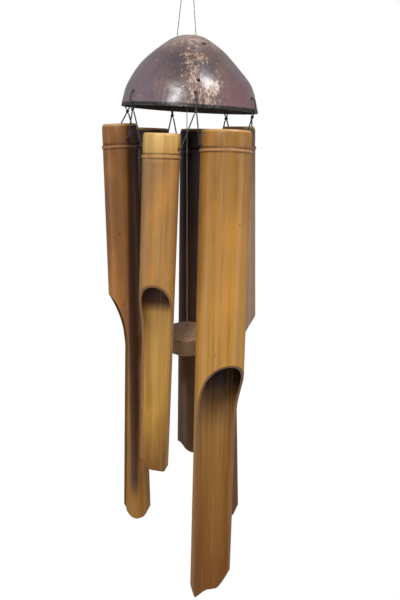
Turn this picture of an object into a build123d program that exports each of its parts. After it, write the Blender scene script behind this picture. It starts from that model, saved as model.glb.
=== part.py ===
from build123d import *

import os
from collections import namedtuple
from math import cos, radians, sin, tan

# A wind chime: six bamboo tubes and a wooden striker hang from a coconut half shell.
# Millimetres. The origin is the centre of the hanging ring, +Z is up and -Y is the front.
# An azimuth turns about +Z: 0 is the front, 90 the right and 180 the rear.

# Driving dimensions: ring, lines and knots
RING_RADIUS = 9.0  # to the middle of the wire
RING_WIRE = 2.0
LINE = 0.8  # diameter of the pale hanging line
CORD = 1.2  # diameter of the dark tying cord
GAP = 0.4  # clearance between pieces that turn past each other
TOP_KNOT = Vector(0, 0, -16)
TOP_KNOT_RADIUS = 1.8
RIM_KNOT_RADIUS = 1.4
STRIKER_KNOT_RADIUS = 2.2
HITCH_KNOT_RADIUS = 1.5

# Driving dimensions: coconut shell
SHELL_TOP = -109.1
SHELL_OUTLINE = [  # radius and height below the crown
    (0, 0),
    (14, -2.8),
    (29.8, -13.5),
    (43.1, -25.4),
    (52.6, -39.9),
    (57.5, -53.4),
    (60.3, -66.1),
    (60.8, -72),
]
SHELL_WALL = 3.6
RIM_RADIUS = 60.3
RIM_Z = -174.9  # on the shell's axis
RIM_TILT = 3.4  # degrees: the rim's right side is the lower one
LINE_HOLE_Z = -151.5
LINE_HOLE_RADIUS = 1.5
LINE_HOLE_OUTSIDE = 53.4  # the shell's radius at the line's holes
FRONT_LINE_AZIMUTH = 9.0
REAR_LINE_AZIMUTH = 196.2

# Driving dimensions: the six ties at the rim
TIE_AZIMUTHS = {
    "front": 6,
    "front_right": 70,
    "rear_right": 146,
    "rear": 195,
    "rear_left": 250,
    "front_left": 302,
}
TIE_HOLE_ABOVE_RIM = 12.5
TIE_HOLE_RADIUS = 1.3
TIE_KNOT_BELOW_RIM = 3.8

# Driving dimensions: bamboo tubes
Tube = namedtuple(
    "Tube",
    "name left_tie right_tie axis_radius top diameter end_diameter wall length node_depth "
    "scoop_top tongue tongue_end scoop_turn hole_turn lean_out lean_side end",
)
# left_tie, right_tie: the ties that it hangs between. axis_radius: from the shell's axis to its own
# axis at the top. top: height of its top. node_depth, scoop_top: from the top to the node's ridge and
# to the top of the scooped opening. tongue, tongue_end: where the scoop's flat lies at its top and
# at the foot, in radii out from the tube's axis. scoop_turn, hole_turn: how far the opening and the
# cord's holes are turned from straight out and straight along the rim. lean_out, lean_side: how far
# its foot swings outwards and towards rising azimuths, in degrees. end: the sawn foot's outline seen
# from the front, measured from the tube's axis and its tip.
TUBES = [
    Tube("front_right", "front", "front_right", 52.9, -194.7, 44.6, 39.6, 2.6, 406, 18.0,
         204, -0.15, -0.2, -4, -20, 0.4, -2.4,
         [(-18.8, 15.6), (-17.3, 0), (-6.8, 7.4), (3.6, 8.9), (11, 19.1), (14, 26)]),
    Tube("right", "front_right", "rear_right", 45.8, -189.1, 29.0, 27.4, 2.4, 344, 18.8,
         165, -0.48, -0.38, 0, 0, 0.6, 1.2,
         [(-13, 9), (-7.4, 0), (0, 15.8)]),
    Tube("rear", "rear_right", "rear", 55.0, -189.8, 34.0, 33.0, 3.0, 287, 19.0,
         132, 0.0, 0.0, 0, 0, 0.5, 0.7,
         [(-14, 10.5), (-9.4, 3), (-3.5, 0), (9, 1.5), (14, 12)]),
    Tube("rear_left", "rear", "rear_left", 49.0, -189.6, 31.0, 30.0, 3.0, 235, 19.0,
         110, 0.0, 0.0, 0, 0, 2.2, 1.0,
         [(-13, 10), (-6, 0), (8, 2), (13, 13)]),
    Tube("left", "rear_left", "front_left", 61.4, -187.5, 30.2, 29.0, 2.4, 345, 20.1,
         147, 0.06, 0.56, 0, 20, -2.2, 0.0,
         [(-10.9, 15.8), (-3.7, 2.6), (1, 0), (5, 0.4), (10, 3), (14.5, 13.1)]),
    Tube("front_left", "front_left", "front", 53.2, -197.1, 33.0, 28.8, 2.4, 294, 20.6,
         131.5, -0.32, -0.4, 9, 0, -0.2, -2.1,
         [(-14, 18.4), (-1.8, 1.8), (12, 0), (14.5, 8.2)]),
]
NODE_RIDGE = 0.9  # how far the ridge stands out of the tube
NODE_HALF_HEIGHT = 1.8
DIAPHRAGM = 3.0
TOP_BEVEL = (0.9, 3.0)  # in from the wall and down from the top
SCOOP_LENGTH = 46.0  # of the curved stretch above the tongue
CORD_HOLE_DEPTH = 14.5
CORD_HOLE_RADIUS = 1.4
HOLE_BEND = 1.9  # radius of a cord's bend round the edge of a hole

# Driving dimensions: striker
STRIKER_TIE = Vector(-1.8, -6, -158)  # where it is tied on the hanging line inside the shell
STRIKER_CENTRE_Z = -375.5
STRIKER_RADIUS = 19.0
STRIKER_THICKNESS = 15.2
STRIKER_TILT = 28  # degrees: its top face is turned down to the front
STRIKER_HOLE_RADIUS = 1.3
CUT_AWAY = 90.0  # longer than any cut


def outward(azimuth):
    """The level direction away from the shell's axis."""
    return Vector(sin(radians(azimuth)), -cos(radians(azimuth)), 0)


def along_rim(azimuth):
    """The level direction towards rising azimuths."""
    return Vector(cos(radians(azimuth)), sin(radians(azimuth)), 0)


def rim_height(azimuth):
    return RIM_Z - RIM_RADIUS * sin(radians(azimuth)) * tan(radians(RIM_TILT))


def shell_radius(height):
    """The shell's outer radius at a height, on straight lines between its outline's points."""
    for (r0, z0), (r1, z1) in zip(SHELL_OUTLINE, SHELL_OUTLINE[1:]):
        if z1 <= height - SHELL_TOP <= z0:
            return r0 + (r1 - r0) * (height - SHELL_TOP - z0) / (z1 - z0)
    raise ValueError(f"the shell doesn't reach {height}")


def at(azimuth, radius, height):
    return outward(azimuth) * radius + Vector(0, 0, height)


def tie_knot_centre(tie):
    azimuth = TIE_AZIMUTHS[tie]
    rim = rim_height(azimuth)
    return at(azimuth, shell_radius(rim) - SHELL_WALL / 2, rim - TIE_KNOT_BELOW_RIM)


def bend_radii(points, largest):
    """One radius for each corner of a route: as large as its runs allow, up to largest."""
    radii = []
    for before, corner, after in zip(points, points[1:], points[2:]):
        turn = (corner - before).get_angle(after - corner)
        shorter = min((corner - before).length, (after - corner).length)
        radii.append(min(largest, 0.45 * shorter / tan(radians(turn / 2))))
    return radii


def cord(name, points, diameter, largest_bend):
    """A round cord along straight runs joined by tangent arcs."""
    radii = bend_radii(points, largest_bend)
    with BuildPart() as strand:
        with BuildLine() as route:
            FilletPolyline(*points, radius=radii)
        with BuildSketch(Plane(origin=route.wires()[0] @ 0, z_dir=route.wires()[0] % 0)):
            Circle(diameter / 2)
        sweep()
    length = sum(run.length for run in route.edges())
    print(f"{name}: length {length:.1f}, bend radii {[round(r, 1) for r in radii]}")
    return strand.part


def ball(centre, radius):
    with BuildPart() as knot:
        with Locations(centre):
            Sphere(radius)
    return knot.part


def hanging_ring():
    with BuildPart() as ring:
        with BuildSketch(Plane.XY):
            with Locations((RING_RADIUS, 0)):
                Circle(RING_WIRE / 2)
        revolve(axis=Axis.Y)
    return ring.part


def hanging_loop():
    """The bight of the hanging line round the ring's wire, open below towards its knot."""
    reach = (RING_WIRE + LINE) / 2 + GAP
    foot = TOP_KNOT + Vector(0, 0, TOP_KNOT_RADIUS + GAP + 0.2)
    neck = Vector(0, 0, -RING_RADIUS - reach)
    with BuildPart() as loop:
        with BuildLine() as route:
            rise = Line(foot + Vector(0, -LINE, 0), neck + Vector(0, -reach, reach))
            crown = ThreePointArc(
                rise @ 1, neck + Vector(0, 0, 2 * reach), neck + Vector(0, reach, reach)
            )
            Line(crown @ 1, foot + Vector(0, LINE, 0))
        with BuildSketch(Plane(origin=route.wires()[0] @ 0, z_dir=route.wires()[0] % 0)):
            Circle(LINE / 2)
        sweep(transition=Transition.ROUND)
    return loop.part


def hanging_line():
    """From the knot down through the front of the shell, across inside it, and back up behind."""

    def leg(azimuth):
        mouth = [
            at(azimuth, LINE_HOLE_OUTSIDE + 1.2, LINE_HOLE_Z + 2.4),
            at(azimuth, LINE_HOLE_OUTSIDE + 0.2, LINE_HOLE_Z + 0.2),
            at(azimuth, LINE_HOLE_OUTSIDE - 4.6, LINE_HOLE_Z - 0.5),
        ]
        start = TOP_KNOT + (mouth[0] - TOP_KNOT).normalized() * (TOP_KNOT_RADIUS + GAP)
        return [start, *mouth]

    front = leg(FRONT_LINE_AZIMUTH)
    rear = leg(REAR_LINE_AZIMUTH)
    return cord("hanging_line", [*front, STRIKER_TIE, *reversed(rear)], LINE, 6)


def coconut_shell():
    """Half a coconut: a dome sawn off a little askew, drilled for the line and the six ties."""
    foot = SHELL_OUTLINE[-1][1]
    inner_share = (RIM_RADIUS - SHELL_WALL) / RIM_RADIUS
    lined = [(r * inner_share, foot + (z - foot) * inner_share) for r, z in SHELL_OUTLINE]
    below_rim = Plane(origin=(0, 0, RIM_Z), z_dir=Vector(0, 0, 1).rotate(Axis.Y, RIM_TILT))
    with BuildPart() as shell:
        with BuildSketch(Plane(origin=(0, 0, SHELL_TOP), x_dir=(1, 0, 0), z_dir=(0, -1, 0))):
            with BuildLine():
                outer = Spline(*SHELL_OUTLINE, tangents=[(1, 0), (0.05, -1)])
                inner = Spline(*lined, tangents=[(1, 0), (0.05, -1)])
                Line(outer @ 1, inner @ 1)
                Line(outer @ 0, inner @ 0)
            make_face()
        revolve(axis=Axis.Z)
        split(bisect_by=below_rim, keep=Keep.TOP)
        for azimuth in (FRONT_LINE_AZIMUTH, REAR_LINE_AZIMUTH):
            with BuildSketch(Plane(origin=(0, 0, LINE_HOLE_Z), z_dir=outward(azimuth))):
                Circle(LINE_HOLE_RADIUS)
            extrude(amount=CUT_AWAY, mode=Mode.SUBTRACT)
        for azimuth in TIE_AZIMUTHS.values():
            height = rim_height(azimuth) + TIE_HOLE_ABOVE_RIM
            with BuildSketch(Plane(origin=(0, 0, height), z_dir=outward(azimuth))):
                Circle(TIE_HOLE_RADIUS)
            extrude(amount=CUT_AWAY, mode=Mode.SUBTRACT)
    return shell.part


def rim_loop(tie):
    """The tie's cord: up outside the shell, in through its hole, and down inside to the knot."""
    azimuth = TIE_AZIMUTHS[tie]
    rim = rim_height(azimuth)
    hole = rim + TIE_HOLE_ABOVE_RIM
    outside = CORD / 2 + 0.9
    inside = SHELL_WALL + CORD / 2 + 1.3
    at_rim, at_hole = shell_radius(rim), shell_radius(hole)
    knot = tie_knot_centre(tie)
    clear = RIM_KNOT_RADIUS + GAP + 0.2
    points = [
        knot + outward(azimuth) * 0.9 + Vector(0, 0, clear),
        at(azimuth, at_rim + outside, rim + 0.6),
        at(azimuth, at_hole + outside, hole + 0.5),
        at(azimuth, at_hole - inside, hole - 0.2),
        at(azimuth, at_rim - inside, rim + 0.6),
        knot - outward(azimuth) * 0.9 + Vector(0, 0, clear),
    ]
    return cord(f"rim_loop_{tie}", points, CORD, HOLE_BEND)


def tube_frame(tube):
    """The tube's own plane: on its top, X outwards and Z up its axis."""
    azimuth = tube_azimuth(tube)
    up = (
        Vector(0, 0, 1)
        - outward(azimuth) * tan(radians(tube.lean_out))
        - along_rim(azimuth) * tan(radians(tube.lean_side))
    ).normalized()
    sideways = up.cross(outward(azimuth)).normalized()
    return Plane(
        origin=at(azimuth, tube.axis_radius, tube.top), x_dir=sideways.cross(up), z_dir=up
    )


def tube_azimuth(tube):
    """Halfway between its two ties."""
    left, right = (TIE_AZIMUTHS[tie] for tie in (tube.left_tie, tube.right_tie))
    return left + (right - left) % 360 / 2


def turned(frame, turn):
    """The upright plane through a tube's axis that faces turn degrees from straight out."""
    out = frame.x_dir * cos(radians(turn)) + frame.y_dir * sin(radians(turn))
    return Plane(origin=frame.origin, x_dir=out, z_dir=out.cross(frame.z_dir))


def bamboo_tube(tube):
    """One length of bamboo, with its node and the wall across it, a scooped opening and a tongue."""
    frame = tube_frame(tube)
    radius, end_radius = tube.diameter / 2, tube.end_diameter / 2
    bevel_in, bevel_down = TOP_BEVEL
    floor = -tube.node_depth + DIAPHRAGM / 2
    flat, flat_end = tube.tongue * radius, tube.tongue_end * radius
    scoop_foot = -tube.scoop_top - SCOOP_LENGTH
    past_foot = -tube.length - 10
    foot = frame.origin - frame.z_dir * (tube.length / frame.z_dir.Z)
    tip_z = tube.top - tube.length
    with BuildPart() as bamboo:
        with BuildSketch(turned(frame, 0)):
            with BuildLine():
                ridge = ThreePointArc(
                    (radius, NODE_HALF_HEIGHT - tube.node_depth),
                    (radius + NODE_RIDGE, -tube.node_depth),
                    (radius, -NODE_HALF_HEIGHT - tube.node_depth),
                )
                Polyline(
                    ridge @ 1,
                    (end_radius, past_foot),
                    (end_radius - tube.wall, past_foot),
                    (radius - tube.wall, floor - DIAPHRAGM),
                    (0, floor - DIAPHRAGM),
                    (0, floor),
                    (radius - tube.wall, floor),
                    (radius - tube.wall, 0),
                    (radius - bevel_in, 0),
                    (radius, -bevel_down),
                    ridge @ 0,
                )
            make_face()
        revolve(axis=Axis(frame.origin, frame.z_dir))
        with BuildSketch(turned(frame, tube.scoop_turn)):
            with BuildLine():
                scoop = TangentArc(
                    (flat, scoop_foot), (radius + 1.5, 1.5 - tube.scoop_top), tangent=(0, 1)
                )
                Polyline(
                    scoop @ 1,
                    (radius + 6, 1.5 - tube.scoop_top),
                    (radius + 6, past_foot - 1),
                    (flat_end, past_foot - 1),
                    scoop @ 0,
                )
            make_face()
        extrude(amount=CUT_AWAY, both=True, mode=Mode.SUBTRACT)
        with BuildSketch(Plane.XZ):
            with BuildLine():
                sawn = Polyline(*[(foot.X + x, tip_z + z) for x, z in tube.end])
                Polyline(
                    sawn @ 1,
                    (foot.X + CUT_AWAY / 2, (sawn @ 1).Y),
                    (foot.X + CUT_AWAY / 2, tip_z - CUT_AWAY),
                    (foot.X - CUT_AWAY / 2, tip_z - CUT_AWAY),
                    (foot.X - CUT_AWAY / 2, (sawn @ 0).Y),
                    sawn @ 0,
                )
            make_face()
        extrude(amount=CUT_AWAY, both=True, mode=Mode.SUBTRACT)
        hole_plane = turned(frame, tube.hole_turn)
        with BuildSketch(hole_plane):
            with Locations((0, -CORD_HOLE_DEPTH)):
                Circle(CORD_HOLE_RADIUS)
        extrude(amount=CUT_AWAY, both=True, mode=Mode.SUBTRACT)
    return bamboo.part


def tube_cord(tube):
    """From one tie's knot down to the tube, through its two holes, and up to the next tie's knot."""
    frame = tube_frame(tube)
    across = turned(frame, tube.hole_turn).z_dir
    hole = frame.origin - frame.z_dir * CORD_HOLE_DEPTH
    reach = tube.diameter / 2 + 1.6
    bends = [hole + across * reach, hole - across * reach]
    knots = [tie_knot_centre(tube.left_tie), tie_knot_centre(tube.right_tie)]
    # two cords share each knot, so each one leaves it on its own tube's side
    aside = (knots[1] - knots[0]).normalized() * (CORD / 2)
    ends = [
        knot + (bend - knot).normalized() * (RIM_KNOT_RADIUS + GAP + 0.2) + side
        for knot, bend, side in zip(knots, bends, [aside, -aside])
    ]
    points = [ends[0], *bends, ends[1]]
    return cord(f"tube_cord_{tube.name}", points, CORD, HOLE_BEND)


def striker_hitch():
    """A turn of line round the crossing of the hanging line, with its knot below."""
    turn_radius = LINE + GAP
    with BuildPart() as hitch:
        with BuildSketch(Plane(origin=STRIKER_TIE, z_dir=(0, 0, 1))):
            with Locations((turn_radius, 0)):
                Circle(LINE / 2)
        revolve(axis=Axis(STRIKER_TIE, (0, 1, 0)))
        with Locations(hitch_knot_centre()):
            Sphere(HITCH_KNOT_RADIUS)
    return hitch.part


def hitch_knot_centre():
    return STRIKER_TIE - Vector(0, 0, 1.5 * LINE + GAP + HITCH_KNOT_RADIUS - 0.4)


def striker_axis_point(height):
    return Vector(STRIKER_TIE.X, STRIKER_TIE.Y, height)


def striker_knot_centre():
    """Just under the disc's slanting lower face."""
    half_height = STRIKER_THICKNESS / 2 / cos(radians(STRIKER_TILT))
    clear = (STRIKER_KNOT_RADIUS + GAP) / cos(radians(STRIKER_TILT))
    return striker_axis_point(STRIKER_CENTRE_Z - half_height - clear)


def striker_cord():
    """Straight down from the hitch's knot, through the disc, into the knot below it."""
    top = hitch_knot_centre().Z - HITCH_KNOT_RADIUS - GAP
    with BuildPart() as strand:
        with BuildSketch(Plane(origin=striker_axis_point(top), z_dir=(0, 0, -1))):
            Circle(LINE / 2)
        extrude(amount=top - striker_knot_centre().Z - STRIKER_KNOT_RADIUS)
    return strand.part


def striker_disc():
    """A thick round wooden disc that sits askew on its cord."""
    face = Vector(0, 0, 1).rotate(Axis.X, STRIKER_TILT)
    middle = striker_axis_point(STRIKER_CENTRE_Z)
    with BuildPart() as disc:
        with BuildSketch(Plane(origin=middle, x_dir=(1, 0, 0), z_dir=face)):
            Circle(STRIKER_RADIUS)
        extrude(amount=STRIKER_THICKNESS / 2, both=True)
        fillet(disc.edges().filter_by(GeomType.CIRCLE), 1.2)
        with BuildSketch(Plane(origin=middle)):
            Circle(STRIKER_HOLE_RADIUS)
        extrude(amount=CUT_AWAY, both=True, mode=Mode.SUBTRACT)
    return disc.part


def save(name, part):
    part.label = name
    export_step(part, f"parts/{name}.step")


def main():
    os.makedirs("parts", exist_ok=True)
    save("hanging_ring", hanging_ring())
    save("hanging_loop", hanging_loop())
    save("top_knot", ball(TOP_KNOT, TOP_KNOT_RADIUS))
    save("hanging_line", hanging_line())
    save("coconut_shell", coconut_shell())
    for tie in TIE_AZIMUTHS:
        save(f"rim_loop_{tie}", rim_loop(tie))
        save(f"rim_knot_{tie}", ball(tie_knot_centre(tie), RIM_KNOT_RADIUS))
    for tube in TUBES:
        save(f"tube_{tube.name}", bamboo_tube(tube))
        save(f"tube_cord_{tube.name}", tube_cord(tube))
    save("striker_hitch", striker_hitch())
    save("striker_cord", striker_cord())
    save("striker_disc", striker_disc())
    save("striker_knot", ball(striker_knot_centre(), STRIKER_KNOT_RADIUS))


main()
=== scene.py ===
"""A bamboo wind chime with a coconut half shell: its visual model, light and camera."""

from collections import namedtuple
from math import acos, cos, exp, pi, radians, sin, sqrt, tan

import bmesh
import bpy
from mathutils import Matrix, Vector, noise


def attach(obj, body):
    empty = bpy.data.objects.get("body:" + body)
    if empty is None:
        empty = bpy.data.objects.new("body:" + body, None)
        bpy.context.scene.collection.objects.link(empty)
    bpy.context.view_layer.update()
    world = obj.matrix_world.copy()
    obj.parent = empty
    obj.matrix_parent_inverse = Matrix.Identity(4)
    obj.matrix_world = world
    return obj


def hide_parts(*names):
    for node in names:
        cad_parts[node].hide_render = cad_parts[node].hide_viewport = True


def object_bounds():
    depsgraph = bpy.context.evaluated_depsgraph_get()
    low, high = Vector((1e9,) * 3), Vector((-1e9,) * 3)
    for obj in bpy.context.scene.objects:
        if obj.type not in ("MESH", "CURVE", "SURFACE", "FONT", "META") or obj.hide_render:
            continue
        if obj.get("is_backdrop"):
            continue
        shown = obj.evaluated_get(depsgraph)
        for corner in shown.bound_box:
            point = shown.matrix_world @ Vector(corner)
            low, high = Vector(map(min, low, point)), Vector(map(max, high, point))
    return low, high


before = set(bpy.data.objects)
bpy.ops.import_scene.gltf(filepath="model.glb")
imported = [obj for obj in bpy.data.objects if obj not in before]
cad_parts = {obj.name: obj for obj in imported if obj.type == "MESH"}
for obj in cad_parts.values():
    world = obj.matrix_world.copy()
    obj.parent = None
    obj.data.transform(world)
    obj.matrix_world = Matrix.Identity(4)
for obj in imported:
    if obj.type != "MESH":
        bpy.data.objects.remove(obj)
cad_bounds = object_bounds()

MM = 0.001  # everything below is in millimetres until it becomes a mesh or a curve

# ---- driving dimensions, the same as the CAD's ----

LINE = 0.8
CORD = 1.2
GAP = 0.4
TOP_KNOT = Vector((0, 0, -16))
TOP_KNOT_RADIUS = 1.8
RIM_KNOT_RADIUS = 1.4
STRIKER_KNOT_RADIUS = 2.2
HITCH_KNOT_RADIUS = 1.5

SHELL_TOP = -109.1
SHELL_OUTLINE = [
    (0, 0), (14, -2.8), (29.8, -13.5), (43.1, -25.4),
    (52.6, -39.9), (57.5, -53.4), (60.3, -66.1), (60.8, -72),
]
SHELL_WALL = 3.6
RIM_RADIUS = 60.3
RIM_Z = -174.9
RIM_TILT = 3.4
LINE_HOLE_Z = -151.5
LINE_HOLE_OUTSIDE = 53.4
FRONT_LINE_AZIMUTH = 9.0
REAR_LINE_AZIMUTH = 196.2
TIE_AZIMUTHS = {
    "front": 6, "front_right": 70, "rear_right": 146,
    "rear": 195, "rear_left": 250, "front_left": 302,
}
TIE_HOLE_ABOVE_RIM = 12.5
TIE_KNOT_BELOW_RIM = 3.8
RIM_KNOT_CLEAR = RIM_KNOT_RADIUS + GAP + 0.2  # from a rim knot's centre to a cord's end
TURN_RADIUS = LINE + GAP  # of the striker's line where it goes round the hanging line

Tube = namedtuple(
    "Tube",
    "name left_tie right_tie axis_radius top diameter end_diameter wall length node_depth "
    "scoop_top tongue tongue_end scoop_turn hole_turn lean_out lean_side end slot",
)
TUBES = [
    Tube("front_right", "front", "front_right", 52.9, -194.7, 44.6, 39.6, 2.6, 406, 18.0,
         204, -0.15, -0.2, -4, -20, 0.4, -2.4,
         [(-18.8, 15.6), (-17.3, 0), (-6.8, 7.4), (3.6, 8.9), (11, 19.1), (14, 26)], "bamboo_golden"),
    Tube("right", "front_right", "rear_right", 45.8, -189.1, 29.0, 27.4, 2.4, 344, 18.8,
         165, -0.48, -0.38, 0, 0, 0.6, 1.2,
         [(-13, 9), (-7.4, 0), (0, 15.8)], "bamboo_dark"),
    Tube("rear", "rear_right", "rear", 55.0, -189.8, 34.0, 33.0, 3.0, 287, 19.0,
         132, 0.0, 0.0, 0, 0, 0.5, 0.7,
         [(-14, 10.5), (-9.4, 3), (-3.5, 0), (9, 1.5), (14, 12)], "bamboo_dark"),
    Tube("rear_left", "rear", "rear_left", 49.0, -189.6, 31.0, 30.0, 3.0, 235, 19.0,
         110, 0.0, 0.0, 0, 0, 2.2, 1.0,
         [(-13, 10), (-6, 0), (8, 2), (13, 13)], "bamboo_dark"),
    Tube("left", "rear_left", "front_left", 61.4, -187.5, 30.2, 29.0, 2.4, 345, 20.1,
         147, 0.06, 0.56, 0, 20, -2.2, 0.0,
         [(-10.9, 15.8), (-3.7, 2.6), (1, 0), (5, 0.4), (10, 3), (14.5, 13.1)], "bamboo_brown"),
    Tube("front_left", "front_left", "front", 53.2, -197.1, 33.0, 28.8, 2.4, 294, 20.6,
         131.5, -0.32, -0.4, 9, 0, -0.2, -2.1,
         [(-14, 18.4), (-1.8, 1.8), (12, 0), (14.5, 8.2)], "bamboo_golden"),
]
NODE_RIDGE = 0.9
NODE_HALF_HEIGHT = 1.8
DIAPHRAGM = 3.0
TOP_BEVEL = (0.9, 3.0)
SCOOP_LENGTH = 46.0
SCOOP_LIP = 1.5  # the scoop's arc starts this far outside the wall and above its top
OVERRUN = 10  # the taper and the tongue's slope end this far past the foot
CORD_HOLE_DEPTH = 14.5

STRIKER_TIE = Vector((-1.8, -6, -158))
STRIKER_CENTRE_Z = -375.5
STRIKER_RADIUS = 19.0
STRIKER_THICKNESS = 15.2
STRIKER_TILT = 28
STRIKER_HOLE_RADIUS = 1.3

# ---- what the CAD leaves out ----

EYE = Vector((13.0, -18.6, -118.2))  # the shell's soft eye near its crown
EYE_DEPTH = 1.6
EYE_RADIUS = 2.4
FLATTENING = 3.2  # the dome's right side is a little flatter, most at FLATTENED_Z
FLATTENED_Z = -136
LINING_LUMPS = 0.4  # share of the outside's lumps that show inside
SHELL_HOLE_RADIUS = 1.5  # holes are worn a little wider than they were drilled
CORD_HOLE_RADIUS = 1.7
SAWN_EDGE = 0.3  # width of the worn bevel on a tube's sawn edges
RIM_EDGE = 0.5
FOOT_WEAR = (-1.8, -0.9, 0, 0.9, 1.8)  # the sawn outline is averaged over these, which rounds it

# ---- how fine the meshes are ----

OPEN_COLUMNS = 40  # of a tube, across the side that its scoop opens
CLOSED_COLUMNS = 56
ABOVE_SCOOP = 12  # the scoop's rows begin this far above it
SCOOP_ROWS = 16
TONGUE_ROW = 9.0
SHELL_COLUMNS = 192
SHELL_ROWS = 72
STRIKER_COLUMNS = 96

# ---- the stage ----

FLOOR_Z = -740
FLOOR_HALF = 1500
WORLD_LIGHT = 0.3


def outward(azimuth):
    return Vector((sin(radians(azimuth)), -cos(radians(azimuth)), 0))


def along_rim(azimuth):
    return Vector((cos(radians(azimuth)), sin(radians(azimuth)), 0))


def at(azimuth, radius, height):
    return outward(azimuth) * radius + Vector((0, 0, height))


def rim_height(azimuth):
    return RIM_Z - RIM_RADIUS * sin(radians(azimuth)) * tan(radians(RIM_TILT))


def along(points, x):
    """The height at x of straight lines between points, level past both ends."""
    if x <= points[0][0]:
        return points[0][1]
    for (x0, y0), (x1, y1) in zip(points, points[1:]):
        if x <= x1:
            return y0 + (y1 - y0) * (x - x0) / (x1 - x0)
    return points[-1][1]


def shell_radius(height):
    """The shell's outer radius at a height, on straight lines between its outline's points."""
    return along([(-z, r) for r, z in SHELL_OUTLINE], SHELL_TOP - height)


def tie_knot_centre(tie):
    azimuth = TIE_AZIMUTHS[tie]
    rim = rim_height(azimuth)
    return at(azimuth, shell_radius(rim) - SHELL_WALL / 2, rim - TIE_KNOT_BELOW_RIM)


def tube_azimuth(tube):
    left, right = (TIE_AZIMUTHS[tie] for tie in (tube.left_tie, tube.right_tie))
    return left + (right - left) % 360 / 2


PieceFrame = namedtuple("PieceFrame", "origin out side up")


def tube_frame(tube, turn=0):
    """The tube's top centre, and the directions out of the chime, sideways and up its axis."""
    azimuth = tube_azimuth(tube)
    up = (
        Vector((0, 0, 1))
        - outward(azimuth) * tan(radians(tube.lean_out))
        - along_rim(azimuth) * tan(radians(tube.lean_side))
    ).normalized()
    sideways = up.cross(outward(azimuth)).normalized()
    straight_out = sideways.cross(up)
    out = straight_out * cos(radians(turn)) + sideways * sin(radians(turn))
    return PieceFrame(at(azimuth, tube.axis_radius, tube.top), out, up.cross(out), up)


# ---- making pieces ----


def linked(name, data):
    made = bpy.data.objects.new(name, data)
    bpy.context.scene.collection.objects.link(made)
    return made


def new_piece(name, data, body, slot, materials, node):
    """A piece of the chime on its body, shown instead of one CAD node."""
    piece = linked(name, data)
    for material in materials:
        data.materials.append(material)
    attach(piece, body)
    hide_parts(node)
    return piece


def neighbours(ring):
    """Each item of a ring with the one after it, and the last with the first."""
    return zip(ring, ring[1:] + ring[:1])


class Surface:
    """A mesh being built: points in millimetres, and faces that each have a material's number."""

    def __init__(self):
        self.points, self.faces, self.kinds = [], [], []

    def add(self, point):
        self.points.append(point)
        return len(self.points) - 1

    def face(self, kind, *corners):
        self.faces.append(corners)
        self.kinds.append(kind)

    def strip(self, kind, here, there):
        """Joins two columns of points, down to the last row that both have."""
        for row in range(min(len(here), len(there)) - 1):
            self.face(kind, here[row], here[row + 1], there[row + 1], there[row])

    def band(self, kind, near, far):
        """Joins two rings of points."""
        for (here, there), (far_here, far_there) in zip(neighbours(near), neighbours(far)):
            self.face(kind, here, there, far_there, far_here)

    def fan(self, kind, ring, middle):
        """Closes a ring of points with triangles that meet at a point."""
        for here, there in neighbours(ring):
            self.face(kind, here, there, middle)

    def mesh(self, name):
        """The mesh in metres, its faces all looking out."""
        mesh = bpy.data.meshes.new(name)
        mesh.from_pydata([point * MM for point in self.points], [], self.faces)
        mesh.polygons.foreach_set("material_index", self.kinds)
        work = bmesh.new()
        work.from_mesh(mesh)
        bmesh.ops.recalc_face_normals(work, faces=work.faces)
        work.to_mesh(mesh)
        work.free()
        return mesh


def mark_places(mesh, frame_of_piece):
    """Gives each point of a mesh its place in the piece's own frame, for the material to read."""
    origin, *axes = frame_of_piece
    places = []
    for vertex in mesh.vertices:
        where = vertex.co - origin * MM
        places.extend(where.dot(axis) for axis in axes)
    layer = mesh.attributes.new("place", "FLOAT_VECTOR", "POINT")
    layer.data.foreach_set("vector", places)


def drilled_and_worn(piece, drills, edge_width, sharp=35):
    """Wears the piece's sawn edges, drills (start, end, radius) holes, and sets its shading."""
    if edge_width:
        worn = piece.modifiers.new("worn edges", "BEVEL")
        worn.limit_method = "ANGLE"
        worn.angle_limit = radians(42)
        worn.width = edge_width * MM
        worn.segments = 2
    cutters = []
    for start, end, radius in drills:
        drill = Surface()
        sweep(drill, [start, end], radius, 20)
        cutter = linked("drill", drill.mesh("drill"))
        hole = piece.modifiers.new("hole", "BOOLEAN")
        hole.operation = "DIFFERENCE"
        hole.solver = "EXACT"
        hole.object = cutter
        cutters.append(cutter)
    evaluated = piece.evaluated_get(bpy.context.evaluated_depsgraph_get())
    shaped = bpy.data.meshes.new_from_object(evaluated)
    piece.modifiers.clear()
    piece.data = shaped
    for cutter in cutters:
        bpy.data.objects.remove(cutter)
    shaped.shade_smooth()
    shaped.set_sharp_from_angle(angle=radians(sharp))


def sweep(surface, path, radius, sides=12):
    """Adds a round strand along a path, closed flat at both ends."""
    last = len(path) - 1
    tangents = [
        (path[min(i + 1, last)] - path[max(i - 1, 0)]).normalized() for i in range(len(path))
    ]
    turns = [2 * pi * side / sides for side in range(sides)]
    across = tangents[0].orthogonal().normalized()
    rings = []
    for centre, tangent in zip(path, tangents):
        across = (across - tangent * across.dot(tangent)).normalized()
        other = tangent.cross(across)
        rings.append([
            surface.add(centre + (across * cos(turn) + other * sin(turn)) * radius)
            for turn in turns
        ])
    for near, far in zip(rings, rings[1:]):
        surface.band(0, near, far)
    surface.face(0, *reversed(rings[0]))
    surface.face(0, *rings[-1])


# ---- materials ----


def linear(red, green, blue):
    """A colour for a shader from its 0 to 255 display values."""
    return (
        *((v / 255 / 12.92) if v <= 10 else ((v / 255 + 0.055) / 1.055) ** 2.4
          for v in (red, green, blue)),
        1,
    )


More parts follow.
